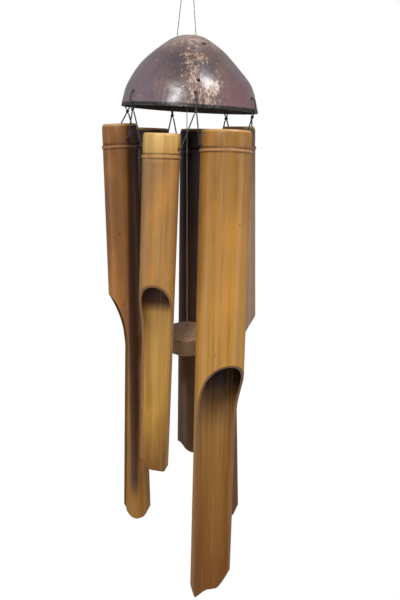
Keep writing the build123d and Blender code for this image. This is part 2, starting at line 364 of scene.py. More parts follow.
class Shader:
    """A material whose nodes are added one by one; an input is a constant or another node's output."""

    def __init__(self, name, constants=()):
        self.material = bpy.data.materials.new(name)
        self.material.use_nodes = True
        self.tree = self.material.node_tree
        self.surface = self.tree.nodes["Principled BSDF"]
        for socket, value in constants:
            self.surface.inputs[socket].default_value = value

    def node(self, kind, inputs, **settings):
        made = self.tree.nodes.new(f"ShaderNode{kind}")
        for key, value in settings.items():
            setattr(made, key, value)
        for key, value in inputs.items():
            if isinstance(value, bpy.types.NodeSocket):
                self.tree.links.new(value, made.inputs[key])
            else:
                made.inputs[key].default_value = value
        return made

    def set(self, socket, value):
        self.tree.links.new(value, self.surface.inputs[socket])

    def on_piece(self):
        """A point's place in its piece's own frame; a tube's third axis is minus the depth."""
        return self.node("Attribute", {}, attribute_name="place").outputs["Vector"]

    def place(self):
        """A point's place in the whole chime's frame."""
        return self.node("TexCoord", {}).outputs["Object"]

    def parts(self, vector):
        return self.node("SeparateXYZ", {0: vector}).outputs

    def measure(self, operation, first, second):
        """A number from two vectors."""
        return self.node("VectorMath", {0: first, 1: second}, operation=operation).outputs["Value"]

    def scaled(self, vector, scale, shift=(0, 0, 0)):
        made = self.node("Mapping", {"Vector": vector, "Scale": scale, "Location": shift})
        return made.outputs["Vector"]

    def stretched(self, vector, scale, shift, detail, roughness=0.55):
        """Noise with its own scale along each axis."""
        return self.noise(self.scaled(vector, scale, shift), 1, detail, roughness)

    def noise(self, vector, scale, detail=4, roughness=0.55):
        made = self.node(
            "TexNoise", {"Vector": vector, "Scale": scale, "Detail": detail, "Roughness": roughness}
        )
        return made.outputs["Fac"]

    def cells(self, vector, scale):
        return self.node("TexVoronoi", {"Vector": vector, "Scale": scale}).outputs["Distance"]

    def math(self, operation, first, second=0.0):
        return self.node("Math", {0: first, 1: second}, operation=operation).outputs[0]

    def times(self, first, second):
        return self.math("MULTIPLY", first, second)

    def off(self, value, middle):
        """How far value is from middle, on either side."""
        return self.math("ABSOLUTE", self.math("SUBTRACT", value, middle))

    def span(self, value, low, high, to_low=0.0, to_high=1.0):
        """value's place between low and high, with soft ends, from to_low to to_high."""
        made = self.node(
            "MapRange",
            {"Value": value, "From Min": low, "From Max": high, "To Min": to_low, "To Max": to_high},
            interpolation_type="SMOOTHSTEP",
        )
        return made.outputs[0]

    def start_with_stops(self, value, low, high, stops):
        """Starts the colour with display colours at shares of the way from low to high."""
        share = self.node("MapRange", {"Value": value, "From Min": low, "From Max": high})
        ramp = self.node("ValToRGB", {0: share.outputs[0]})
        elements = ramp.color_ramp.elements
        while len(elements) < len(stops):
            elements.new(0.5)
        for element, (position, rgb) in zip(elements, stops):
            element.position = position
            element.color = linear(*rgb)
        self.colour = ramp.outputs["Color"]

    def start_with(self, factor, first, second):
        """Starts the colour between two display colours."""
        self.colour = self.mix(factor, linear(*first), linear(*second))

    def mix(self, factor, first, second):
        return self.node("Mix", {0: factor, 6: first, 7: second}, data_type="RGBA").outputs[2]

    def tint(self, factor, rgb):
        """Lays a display colour over the colour so far, as far as the factor says."""
        self.colour = self.mix(factor, self.colour, linear(*rgb))

    def finished(self, roughness, *bumps):
        """The material in its colour so far; a bump is (height, how deep in mm, strength)."""
        normal = None
        for height, depth, strength in bumps:
            inputs = {"Height": height, "Distance": depth * MM, "Strength": strength}
            if normal is not None:
                inputs["Normal"] = normal
            normal = self.node("Bump", inputs).outputs["Normal"]
        self.set("Base Color", self.colour)
        self.set("Roughness", roughness)
        self.set("Normal", normal)
        return self.material


def painted_shadow_strip(shader, place, tube, stain_and_shadow):
    """Paints shadow on a strip of a tube's front between two edges, where the tube in front of it keeps
    the light off, and lets it fade above the foot.

    Each edge runs straight from its place at the top to its place at the foot, both given in
    radii to the right of the axis.
    """

    def towards(azimuth):
        """How many radii a point is from the axis in a direction."""
        turn = radians(azimuth - tube_azimuth(tube) - tube.scoop_turn)
        radius = tube.diameter / 2 * MM
        return shader.measure("DOT_PRODUCT", place, (cos(turn) / radius, sin(turn) / radius, 0))

    down = shader.times(shader.parts(place)["Z"], -1 / (tube.length * MM))
    inside = shader.times(shader.span(towards(0), 0, 0.1), shader.span(down, 0.9, 0.97, 1, 0))
    for (top, foot), outwards in zip(stain_and_shadow, (1, -1)):
        edge = shader.math("ADD", shader.times(down, foot - top), top)
        past = shader.times(shader.math("SUBTRACT", towards(90), edge), outwards)
        inside = shader.times(inside, shader.span(past, -0.08, 0.14))
    # the painted shadow's dark colour, laid over the strip
    shader.tint(shader.times(inside, 0.88), (50, 29, 23))


def bamboo_skin(tube, look, seed):
    """The lacquered outside: long fibres, drifting colour down the tube, and a scarred node."""
    shader = Shader(
        f"{tube.name}_skin",
        [("Coat Weight", look["gloss"]), ("Coat Roughness", 0.25), ("Specular IOR Level", 0.25)],
    )
    place = shader.on_piece()
    depth = shader.times(shader.parts(place)["Z"], -1)
    shift = (seed * 3.1, seed * 1.7, seed * 0.9)
    fibre = shader.stretched(place, (1400, 1400, 16), shift, 5, 0.65)
    streak = shader.stretched(place, (190, 190, 5), shift, 3)
    cloud = shader.stretched(place, (38, 38, 14), shift, 4)
    speck = shader.cells(shader.scaled(place, (1, 1, 0.5), shift), 75)

    shader.start_with_stops(depth, 0, tube.length * MM, look["skin"])
    figure = look["figure"]
    shader.tint(shader.span(streak, 0.42, 0.68, 0, 0.42 * figure), (104, 62, 26))
    shader.tint(shader.span(cloud, 0.45, 0.7, 0, 0.3 * figure), (204, 138, 52))
    shader.tint(shader.span(fibre, 0.4, 0.75, 0, 0.22), (92, 52, 22))
    # painted shadow: a dark strip where a neighbouring tube keeps the light off
    if "shadow_strip" in look:
        painted_shadow_strip(shader, place, tube, look["shadow_strip"])

    # the node: a pale ridge between two dark scars, all of them broken here and there
    broken = shader.span(cloud, 0.3, 0.6, 0.35, 1)
    bands = (
        (0, 0.1, 0.9, 0.5, look["ridge"]),
        (-2.3, 0.15, 1.2, 0.85, (58, 32, 20)),
        (1.9, 0.15, 1.0, 0.8, (58, 32, 20)),
    )
    for below, core, reach, strength, rgb in bands:
        away = shader.off(depth, (tube.node_depth + below) * MM)
        band = shader.span(away, core * MM, reach * MM, strength, 0)
        shader.tint(shader.times(band, broken), rgb)
    shader.tint(shader.span(speck, 0.045, 0.075, 0.7, 0), (58, 33, 18))
    by_top = shader.span(depth, 0.4 * MM, TOP_BEVEL[1] * MM, 0.65, 0)
    shader.tint(by_top, (214, 168, 112))

    return shader.finished(
        shader.span(fibre, 0.2, 0.8, 0.3, 0.5),
        (fibre, 0.25, 0.5), (cloud, 0.8, 0.35),
    )


def bamboo_inside(tube, look, seed):
    """The bare inside wall: papery and stained here and there, with painted shadow darkest just below
    the opening's top, and paler down the tongue.
    """
    shader = Shader(f"{tube.name}_inside", [("Specular IOR Level", 0.2)])
    place = shader.on_piece()
    shift = (seed * 2.3, seed, seed * 1.9)
    fibre = shader.stretched(place, (1000, 1000, 11), shift, 5, 0.7)
    stain_and_shadow = shader.stretched(place, (120, 120, 9), shift, 3)
    pale = shader.stretched(place, (260, 260, 7), shift, 2)

    depth = shader.times(shader.parts(place)["Z"], -1)
    # painted shadow: the first stops, just below the opening's top, are dark where the wall above
    # shades the inside
    shader.start_with_stops(
        depth, tube.scoop_top * MM, tube.length * MM,
        [(below / (tube.length - tube.scoop_top), rgb) for below, rgb in look["inside"]],
    )
    shader.tint(shader.span(stain_and_shadow, 0.46, 0.7, 0, 0.4), (82, 49, 20))
    shader.tint(shader.span(fibre, 0.4, 0.72, 0, 0.32), (70, 42, 18))
    shader.tint(shader.span(pale, 0.58, 0.72, 0, 0.12), (206, 158, 100))

    return shader.finished(
        shader.span(fibre, 0.2, 0.8, 0.42, 0.66),
        (fibre, 0.3, 0.6), (stain_and_shadow, 0.6, 0.3),
    )


def bamboo_sawn(tube, look, seed):
    """Sawn bamboo: tan, with the dark dots and dashes of its fibre bundles."""
    shader = Shader(f"{tube.name}_sawn")
    place = shader.on_piece()
    shift = (seed, seed * 2.1, seed * 1.3)
    bundle = shader.cells(shader.scaled(place, (1, 1, 0.12), shift), 1500)
    rough_saw = shader.noise(shader.scaled(place, (1, 1, 1), shift), 900, 4)
    shader.start_with(shader.span(bundle, 0.2, 0.5, 0.55, 0), look["sawn"], (74, 44, 22))
    shader.tint(shader.span(rough_saw, 0.5, 0.7, 0, 0.2), (176, 130, 84))
    return shader.finished(shader.span(rough_saw, 0.3, 0.7, 0.55, 0.75), (rough_saw, 0.2, 0.6))


def coconut_outside():
    """Lacquered coconut shell: purplish brown, and flecked cream where it is sanded through."""
    shader = Shader("coconut_outside", [("Coat Roughness", 0.23)])
    place = shader.place()
    where = shader.parts(place)
    cloud = shader.noise(place, 55, 5)
    fine = shader.noise(place, 520, 5, 0.7)
    strand = shader.noise(shader.scaled(place, (1, 1, 0.4)), 640, 6, 0.7)
    patch = shader.noise(shader.scaled(place, (1, 1, 0.45)), 210, 4, 0.6)
    pit = shader.cells(place, 420)

    shader.start_with(shader.span(cloud, 0.35, 0.65), (76, 62, 66), (108, 82, 76))
    shader.tint(shader.span(fine, 0.45, 0.7, 0, 0.5), (62, 44, 46))
    # painted sheen: the dome is tinted lilac towards its left and right sides, as lacquer looks at a
    # grazing angle
    side_sheen = shader.span(shader.off(where["X"], 0.006), 0.014, 0.05, 0, 0.55)
    shader.tint(side_sheen, (118, 102, 116))
    crown = shader.times(
        shader.span(where["Z"], -0.128, -0.112), shader.span(patch, 0.4, 0.6, 0.4, 0.85)
    )
    shader.tint(crown, (178, 152, 144))
    redder = shader.times(
        shader.span(where["X"], 0.012, 0.045), shader.span(where["Z"], -0.135, -0.16)
    )
    shader.tint(shader.times(redder, 0.4), (104, 50, 46))

    # the sanded streak runs down the front, and spreads out to the right above the rim
    streak = shader.span(shader.off(where["X"], 0.004), 0.002, 0.016, 1, 0)
    low_right = shader.times(
        shader.span(shader.off(where["X"], 0.016), 0.006, 0.022, 1, 0),
        shader.span(where["Z"], -0.142, -0.156),
    )
    worn = shader.times(
        shader.math("MAXIMUM", streak, low_right), shader.span(where["Y"], 0.0, -0.012)
    )
    least = shader.math("SUBTRACT", 0.592, shader.times(worn, 0.098))
    both = shader.math("ADD", shader.times(strand, 0.6), shader.times(patch, 0.4))
    fleck = shader.span(shader.math("SUBTRACT", both, least), 0.0, 0.05, 0, 0.78)
    shader.tint(fleck, (196, 166, 144))
    shader.tint(shader.span(pit, 0.1, 0.24, 0.7, 0), (40, 26, 28))

    from_eye = shader.measure("DISTANCE", place, EYE * MM)
    shader.tint(shader.span(from_eye, 1.8 * MM, 3.2 * MM, 1, 0), (10, 7, 8))
    above_rim = shader.math(
        "ADD",
        shader.math("SUBTRACT", where["Z"], RIM_Z * MM),
        shader.times(where["X"], tan(radians(RIM_TILT))),
    )
    raw_edge = shader.span(above_rim, 2.4 * MM, 4.0 * MM, 1, 0)
    shader.tint(shader.times(raw_edge, 0.96), (7, 4, 5))

    shader.set("Coat Weight", shader.span(raw_edge, 0, 1, 0.9, 0.05))
    return shader.finished(
        shader.span(fine, 0.3, 0.7, 0.22, 0.46),
        (cloud, 2.2, 0.5), (patch, 1.2, 0.5), (strand, 0.4, 0.4), (fine, 0.2, 0.4),
    )


def coconut_inside():
    """The unpolished inside and sawn rim: near-black brown with a fibrous grain."""
    shader = Shader("coconut_inside")
    place = shader.place()
    grain = shader.noise(shader.scaled(place, (1, 1, 2.5)), 240, 5, 0.65)
    cloud = shader.noise(place, 60, 3)
    shader.start_with(shader.span(cloud, 0.35, 0.65), (34, 22, 18), (66, 44, 34))
    shader.tint(shader.span(grain, 0.52, 0.7, 0, 0.5), (96, 68, 50))
    return shader.finished(shader.span(grain, 0.3, 0.7, 0.6, 0.82), (grain, 0.5, 0.6))


def striker_material(name, dark, light, has_rings):
    """Stained wood, with growth rings on its faces or long grain round its side."""
    shader = Shader(name, [("Coat Weight", 0.1), ("Coat Roughness", 0.35)])
    place = shader.on_piece()
    warp = shader.noise(place, 60, 3)
    grime = shader.noise(place, 380, 4)
    if has_rings:
        off_centre = shader.scaled(place, (1, 1, 0.1), (0.006, 0.002, 0))
        bands = shader.node(
            "TexWave", {"Vector": off_centre, "Scale": 62, "Distortion": 4.0, "Detail": 3},
            wave_type="RINGS", rings_direction="Z",
        ).outputs["Fac"]
    else:
        bands = shader.noise(shader.scaled(place, (90, 90, 700)), 1, 4)
    shader.start_with(shader.span(bands, 0.1, 0.9, 0.3, 0.8), dark, light)
    shader.tint(shader.span(warp, 0.5, 0.72, 0, 0.5), (150, 112, 92))
    shader.tint(shader.span(grime, 0.52, 0.7, 0, 0.45), (52, 34, 30))
    return shader.finished(
        shader.span(grime, 0.3, 0.7, 0.42, 0.62),
        (bands, 0.2, 0.4), (grime, 0.3, 0.4),
    )


def dark_cord_material():
    """Waxed black cord with its twist showing."""
    shader = Shader("dark_cord", [("Sheen Weight", 0.15)])
    place = shader.place()
    twist = shader.node(
        "TexWave", {"Vector": shader.scaled(place, (1, 1, 1.4)), "Scale": 330, "Distortion": 1.2},
        wave_type="BANDS", bands_direction="DIAGONAL",
    ).outputs["Fac"]
    fuzz = shader.noise(place, 2600, 3)
    shader.start_with(shader.span(twist, 0.2, 0.8), (14, 12, 14), (52, 46, 48))
    shader.tint(shader.span(fuzz, 0.5, 0.75, 0, 0.4), (84, 74, 72))
    return shader.finished(
        shader.span(fuzz, 0.3, 0.7, 0.5, 0.75),
        (twist, 0.25, 0.8), (fuzz, 0.08, 0.5),
    )


def pale_line_material():
    """Smooth nylon line, a little clouded."""
    shader = Shader("pale_line", [("Transmission Weight", 0.9), ("IOR", 1.2)])
    place = shader.place()
    cloud = shader.noise(place, 340, 3)
    ply = shader.noise(shader.scaled(place, (1500, 1500, 220)), 1, 2)
    shader.start_with(shader.span(cloud, 0.3, 0.7), (196, 194, 190), (220, 218, 214))
    return shader.finished(shader.span(ply, 0.3, 0.7, 0.08, 0.2), (ply, 0.06, 0.4))


def ring_material():
    """Galvanised wire, drawn along its length and dulled in spots."""
    shader = Shader("ring_wire", [("Metallic", 1.0)])
    place = shader.place()
    drawn = shader.noise(shader.scaled(place, (260, 2600, 260)), 1, 4)
    spangle = shader.cells(place, 420)
    shader.start_with(shader.span(spangle, 0.2, 0.7), (176, 178, 180), (206, 206, 204))
    dull = shader.noise(place, 180, 4)
    shader.tint(shader.span(dull, 0.55, 0.7, 0, 0.6), (134, 130, 124))
    return shader.finished(shader.span(dull, 0.3, 0.7, 0.28, 0.52), (drawn, 0.05, 0.5))


# ---- bamboo ----


def scoop_foot(tube):
    return tube.scoop_top + SCOOP_LENGTH


def outer_radius(tube, depth):
    """The tube's outside radius, with its slow taper, its node's ridge and the groove above it."""
    radius, end_radius = tube.diameter / 2, tube.end_diameter / 2
    start = tube.node_depth + NODE_HALF_HEIGHT
    share = max(0.0, depth - start) / (tube.length + OVERRUN - start)
    plain = radius + (end_radius - radius) * share
    off = (depth - tube.node_depth) / NODE_HALF_HEIGHT
    ridge = NODE_RIDGE * max(0.0, 1 - off * off)
    groove = 0.3 * exp(-(((depth - tube.node_depth + 2.6) / 0.7) ** 2))
    return plain + ridge - groove


def scoop_depth(tube, radius, angle):
    """How deep below the top the scoop cuts a wall of this radius, at an angle from its middle."""
    flat = tube.tongue * tube.diameter / 2
    rise, run = SCOOP_LENGTH + SCOOP_LIP, tube.diameter / 2 + SCOOP_LIP - flat
    arc = (rise * rise + run * run) / (2 * run)
    reach = radius * cos(angle) - flat
    return scoop_foot(tube) - sqrt(max(0.0, arc * arc - (arc - max(0.0, reach)) ** 2))


def column_angle(tube, column, inset, depth=0.0):
    """A column's angle from the middle of the scoop: fixed down to its foot, then by its slope."""
    foot = scoop_foot(tube)
    share = max(0.0, depth - foot) / (tube.length + OVERRUN - foot)
    flat = (tube.tongue + (tube.tongue_end - tube.tongue) * share) * (tube.diameter / 2)
    edge = acos(flat / (outer_radius(tube, max(depth, foot)) - inset))
    if column <= OPEN_COLUMNS:
        return -edge + 2 * edge * column / OPEN_COLUMNS
    return edge + (2 * pi - 2 * edge) * (column - OPEN_COLUMNS) / CLOSED_COLUMNS


def steps_down(depths, step, end):
    """The depths, and more of them at equal steps while they stay above the end."""
    depths = list(depths)
    while depths[-1] + step < end:
        depths.append(depths[-1] + step)
    return depths


def bamboo_mesh(tube):
    """Columns down the outside and the bore, joined by the sawn faces; the cup and node wall on top."""
    origin, out, aside, up = tube_frame(tube, tube.scoop_turn)
    radius, wall = tube.diameter / 2, tube.wall
    foot = origin - up * (tube.length / up.z)
    tip_z = tube.top - tube.length
    seed = tube.length * 0.37
    scoop_start = tube.scoop_top - ABOVE_SCOOP
    skin, inside, sawn = 0, 1, 2
    surface = Surface()

    def spot(turn, r, depth):
        """A point at a depth, its radius a little uneven as grown bamboo's is."""
        uneven = 1 + 0.006 * sin(2 * turn + seed) + 0.004 * sin(depth / 47 + seed)
        outwards, sideways = r * uneven * cos(turn), r * uneven * sin(turn)
        return origin + out * outwards + aside * sideways + up * -depth

    def wall_spot(number, inset, depth, angle_depth=0.0):
        turn = column_angle(tube, number, inset, angle_depth)
        return spot(turn, outer_radius(tube, depth) - inset, depth)

    def foot_depth(number, inset):
        """Where a column meets the sawn foot, whose corners are worn round."""
        depth = tube.length - 8
        for _ in range(5):
            here = wall_spot(number, inset, depth, depth)
            sawn_at = [along(tube.end, here.x - foot.x + worn) for worn in FOOT_WEAR]
            depth += (here.z - tip_z - sum(sawn_at) / len(sawn_at)) / up.z
        return depth

    def column(number, depths, inset):
        """One column's points from the top: the whole tube, then past its scoop, then its tongue."""
        is_cut_short = 0 < number < OPEN_COLUMNS
        end = scoop_foot(tube)
        if is_cut_short:
            turn = column_angle(tube, number, inset)
            end = scoop_depth(tube, outer_radius(tube, scoop_start) - inset, turn)
        past_scoop = [
            scoop_start + (end - scoop_start) * row / SCOOP_ROWS for row in range(SCOOP_ROWS + 1)
        ]
        made = [surface.add(wall_spot(number, inset, depth)) for depth in [*depths, *past_scoop]]
        if is_cut_short:
            return made
        tip = foot_depth(number, inset)
        rows = max(4, round((tube.length - end) / TONGUE_ROW))
        for row in range(1, rows + 1):
            depth = end + (tip - end) * row / rows
            made.append(surface.add(wall_spot(number, inset, depth, depth)))
        return made

    node = tube.node_depth
    floor = node - DIAPHRAGM / 2
    outer_top = [TOP_BEVEL[1], node - 6] + [node + step * 0.45 for step in range(-7, 13)]
    bore_top = [floor + DIAPHRAGM + 0.5, floor + DIAPHRAGM + 8]
    numbers = range(OPEN_COLUMNS + CLOSED_COLUMNS)
    outers = [column(number, steps_down(outer_top, 12, scoop_start), 0) for number in numbers]
    bores = [column(number, steps_down(bore_top, 20, scoop_start), wall) for number in numbers]
    for (outer, next_outer), (bore, next_bore) in zip(neighbours(outers), neighbours(bores)):
        surface.strip(skin, outer, next_outer)
        surface.strip(inside, bore, next_bore)
        outer_end = min(len(outer), len(next_outer)) - 1
        bore_end = min(len(bore), len(next_bore)) - 1
        surface.face(
            sawn, outer[outer_end], next_outer[outer_end], next_bore[bore_end], bore[bore_end]
        )
    for number in (0, OPEN_COLUMNS):
        outer_side = outers[number][len(outers[1]) - 1:]
        surface.strip(sawn, outer_side, bores[number][len(bores[1]) - 1:])

    # the top: its bevel and sawn end, the cup above the node wall, and the wall's two faces
    turns = [column_angle(tube, number, 0) for number in numbers]
    rings = [
        (radius - TOP_BEVEL[0], 0, skin), (radius - wall, 0, sawn),
        (radius - wall, 6, inside), (radius - wall, floor - 1, inside),
        (radius - wall - 1, floor, inside), (radius * 0.5, floor + 0.5, inside),
    ]
    above = [points[0] for points in outers]
    for r, depth, kind in rings:
        ring = [surface.add(spot(turn, r, depth)) for turn in turns]
        surface.band(kind, above, ring)
        above = ring
    bore_ring = [points[0] for points in bores]
    for ring, depth in ((above, floor + 0.7), (bore_ring, floor + DIAPHRAGM)):
        surface.fan(inside, ring, surface.add(origin - up * depth))
    return surface.mesh(f"bamboo_{tube.name}")


def bamboo_tube(tube, look, seed):
    materials = [make(tube, look, seed) for make in (bamboo_skin, bamboo_inside, bamboo_sawn)]
    node = f"tube_{tube.name}"
    piece = new_piece(f"bamboo_{tube.name}", bamboo_mesh(tube), node, tube.slot, materials, node)
    place = tube_frame(tube, tube.hole_turn)
    hole = place.origin - place.up * CORD_HOLE_DEPTH
    reach = place.side * (tube.diameter / 2 + 4)
    drilled_and_worn(piece, [(hole - reach, hole + reach, CORD_HOLE_RADIUS)], SAWN_EDGE)
    mark_places(piece.data, tube_frame(tube, tube.scoop_turn))


# ---- coconut shell ----


def smooth_outline(count):
    """The shell's outline as count points on a curve through its driving points."""
    knots = [Vector((r, z, 0)) for r, z in SHELL_OUTLINE]
    knots = [Vector((-knots[1].x, knots[1].y, 0)), *knots, knots[-1] * 2 - knots[-2]]
    curve = []
    spans = len(knots) - 3
    for step in range(count):
        place = spans * step / (count - 1)
        span = min(int(place), spans - 1)
        t = place - span
        a, b, c, d = knots[span:span + 4]
        curve.append(0.5 * (2 * b + (c - a) * t + (2 * a - 5 * b + 4 * c - d) * t * t
                            + (3 * b - a - 3 * c + d) * t ** 3))
    return [(p.x, p.y) for p in curve]


def spread_evenly(points, count):
    """count points along straight lines between points, each the same share of a line on."""
    spread = []
    for number in range(count):
        place = (len(points) - 1) * number / (count - 1)
        low = min(int(place), len(points) - 2)
        t = place - low
        (r0, z0), (r1, z1) = points[low:low + 2]
        spread.append((r0 + (r1 - r0) * t, z0 + (z1 - z0) * t))
    return spread


def shell_mesh():
    """The dome's outside and lining as columns from the crown to the oblique rim."""
    outline = smooth_outline(SHELL_ROWS)
    inner_share = (RIM_RADIUS - SHELL_WALL) / RIM_RADIUS
    foot = SHELL_OUTLINE[-1][1]
    outside, inside = 0, 1
    surface = Surface()

    def column(azimuth, lining):
        """The radius and height below the crown of each point of a column."""
        scale = inner_share if lining else 1
        rim = rim_height(azimuth) - SHELL_TOP
        above_rim = [
            (r * scale, foot + (z - foot) * scale)
            for r, z in outline[1:] if foot + (z - foot) * scale >= rim
        ]
        on_rim = (shell_radius(rim + SHELL_TOP) * scale, rim)
        return spread_evenly([*above_rim, on_rim], SHELL_ROWS - 1)

    def add(azimuth, r, z, lining):
        """Adds a point, moved off the plain dome by its lumps, its eye and its flatter side."""
        where = at(azimuth, r, SHELL_TOP + z)
        lump = noise.noise(where * 0.055) * 0.45 + noise.noise(where * 0.28) * 0.14
        if lining:
            outwards = lump * LINING_LUMPS
        else:
            outwards = lump - EYE_DEPTH * exp(-((where - EYE).length / EYE_RADIUS) ** 2)
        right_side = max(0.0, sin(radians(azimuth))) ** 1.5
        flattened = FLATTENING * right_side * exp(-((where.z - FLATTENED_Z) / 13) ** 2)
        return surface.add(where + outward(azimuth) * (outwards - flattened))

    azimuths = [360 * number / SHELL_COLUMNS for number in range(SHELL_COLUMNS)]
    outer_wall, inner_wall = (
        [[add(azimuth, r, z, lining) for r, z in column(azimuth, lining)] for azimuth in azimuths]
        for lining in (False, True)
    )
    for wall, kind, crown_z in (
        (outer_wall, outside, 0),
        (inner_wall, inside, foot - foot * inner_share),
    ):
        crown = surface.add(Vector((0, 0, SHELL_TOP + crown_z)))
        for here, there in neighbours(wall):
            surface.face(kind, crown, here[0], there[0])
            surface.strip(kind, here, there)
    surface.band(inside, [points[-1] for points in outer_wall], [points[-1] for points in inner_wall])
    return surface.mesh("coconut")


def coconut():
    materials = [coconut_outside(), coconut_inside()]
    piece = new_piece("coconut", shell_mesh(), "shell", "coconut", materials, "coconut_shell")
    holes = [(azimuth, LINE_HOLE_Z) for azimuth in (FRONT_LINE_AZIMUTH, REAR_LINE_AZIMUTH)]
    for azimuth in TIE_AZIMUTHS.values():
        holes.append((azimuth, rim_height(azimuth) + TIE_HOLE_ABOVE_RIM))
    drills = [(at(azimuth, 30, z), at(azimuth, 80, z), SHELL_HOLE_RADIUS) for azimuth, z in holes]
    drilled_and_worn(piece, drills, RIM_EDGE)


# ---- cords, lines and knots ----


def cord_curve(name, points, diameter, body, slot, material, length, node):
    """A taut cord: one smooth spline whose control points are its route's points."""
    curve = bpy.data.curves.new(name, "CURVE")
    curve.dimensions = "3D"
    spline = curve.splines.new("NURBS")
    spline.points.add(len(points) - 1)
    for control, point in zip(spline.points, points):
        control.co = (*(point * MM), 1)
    spline.order_u = 3
    spline.use_endpoint_u = True
    spline.resolution_u = 12
    curve.bevel_depth = diameter / 2 * MM
    curve.bevel_resolution = 4
    curve.use_fill_caps = True
    piece = new_piece(name, curve, body, slot, [material], node)


def between(start, end, distance):
    """The point at a distance from start on the way to end."""
    return start + (end - start).normalized() * distance


def hanging_line(material):
    """Two strands from the top knot, each through its hole, that meet where the striker is tied."""

    def leg(azimuth):
        mouth = [
            at(azimuth, LINE_HOLE_OUTSIDE + 1.2, LINE_HOLE_Z + 2.4),
            at(azimuth, LINE_HOLE_OUTSIDE + 0.2, LINE_HOLE_Z + 0.2),
            at(azimuth, LINE_HOLE_OUTSIDE - 4.6, LINE_HOLE_Z - 0.5),
        ]
        start = between(TOP_KNOT, mouth[0], TOP_KNOT_RADIUS + GAP)
        before_edge = between(mouth[0], start, 6 * LINE)
        past_edge = between(mouth[2], STRIKER_TIE, 5 * LINE)
        by_tie = between(STRIKER_TIE, mouth[2], 6 * LINE)
        return [start, before_edge, *mouth, past_edge, by_tie]

    front = leg(FRONT_LINE_AZIMUTH)
    rear = leg(REAR_LINE_AZIMUTH)
    route = [*front, STRIKER_TIE, *reversed(rear)]
    cord_curve("line", route, LINE, "shell", "pale_line", material, HANGING_LINE_LENGTH,
               "hanging_line")


def rim_loop(tie, material):
    """A loop up from its knot outside the shell, through the hole and down inside."""
    azimuth = TIE_AZIMUTHS[tie]
    rim = rim_height(azimuth)
    hole = rim + TIE_HOLE_ABOVE_RIM
    outside = CORD / 2 + 0.9
    inside = SHELL_WALL + CORD / 2 + 1.3
    at_rim, at_hole = shell_radius(rim), shell_radius(hole)
    knot = tie_knot_centre(tie)
    above_knot = Vector((0, 0, RIM_KNOT_CLEAR))
    route = [
        knot + outward(azimuth) * 0.9 + above_knot,
        at(azimuth, at_rim + outside, rim + 0.6),
        at(azimuth, at_hole + outside + 1.2, hole + 0.9),
        at(azimuth, at_hole - inside, hole - 0.2),
        at(azimuth, at_rim - inside, rim + 0.6),
        knot - outward(azimuth) * 0.9 + above_knot,
    ]
    cord_curve(f"loop_{tie}", route, CORD, "shell", "dark_cord", material, RIM_LOOP_LENGTH,
               f"rim_loop_{tie}")


def tube_cord(tube, material, length):
    """A cord from knot to knot, through the tube it carries, with a tight bend at each hole."""
    place = tube_frame(tube, tube.hole_turn)
    leftwards = -place.side
    hole = place.origin - place.up * CORD_HOLE_DEPTH
    reach = tube.diameter / 2 + 1.6
    bends = [hole + leftwards * reach, hole - leftwards * reach]
    centres = [tie_knot_centre(tube.left_tie), tie_knot_centre(tube.right_tie)]
    aside = (centres[1] - centres[0]).normalized() * (CORD / 2)
    ends = [
        between(centre, bend, RIM_KNOT_CLEAR) + side
        for centre, bend, side in zip(centres, bends, [aside, -aside])
    ]
    near = 6 * CORD
    route = [
        ends[0],
        between(bends[0], ends[0], near), bends[0], between(bends[0], bends[1], near),
        between(bends[1], bends[0], near), bends[1], between(bends[1], ends[1], near),
        ends[1],
    ]
    cord_curve(f"cord_{tube.name}", route, CORD, f"tube_{tube.name}", "dark_cord", material,
               length, f"tube_cord_{tube.name}")


def winding(centre, width, height, turns, lean, steps=90):
    """A path wound round a small egg shape from its top to its bottom, its axis leaned over."""
    turned = Matrix.Rotation(radians(lean), 3, "Y") @ Matrix.Rotation(radians(lean * 0.6), 3, "X")
    path = []
    for step in range(steps + 1):
        t = step / steps
        down = radians(25 + 130 * t)
        turn = 2 * pi * turns * t
        r = width / 2 * sin(down)
        path.append(centre + turned @ Vector((r * cos(turn), r * sin(turn), height / 2 * cos(down))))
    return path


def knot(name, centre, width, height, strand, body, slot, material, node, extra=()):
    """A lump of wound line: one winding upright and one lying across it."""
    width, height = width - strand, height - strand
    surface = Surface()
    for path, radius in (
        (winding(centre, width, height, 3.0, 12), strand / 2),
        (winding(centre, width * 0.9, height * 0.8, 2.0, 82), strand / 2),
        *extra,
    ):
        sweep(surface, path, radius)
    mesh = surface.mesh(name)
    mesh.shade_smooth()
    new_piece(name, mesh, body, slot, [material], node)


def hitch_knot_centre():
    """Just under the turns round the hanging line."""
    return STRIKER_TIE - Vector((0, 0, TURN_RADIUS + LINE / 2 + HITCH_KNOT_RADIUS - 0.4))


def striker_axis_point(height):
    return Vector((STRIKER_TIE.x, STRIKER_TIE.y, height))


def striker_knot_centre():
    half_height = STRIKER_THICKNESS / 2 / cos(radians(STRIKER_TILT))
    clear = (STRIKER_KNOT_RADIUS + GAP) / cos(radians(STRIKER_TILT))
    return striker_axis_point(STRIKER_CENTRE_Z - half_height - clear)


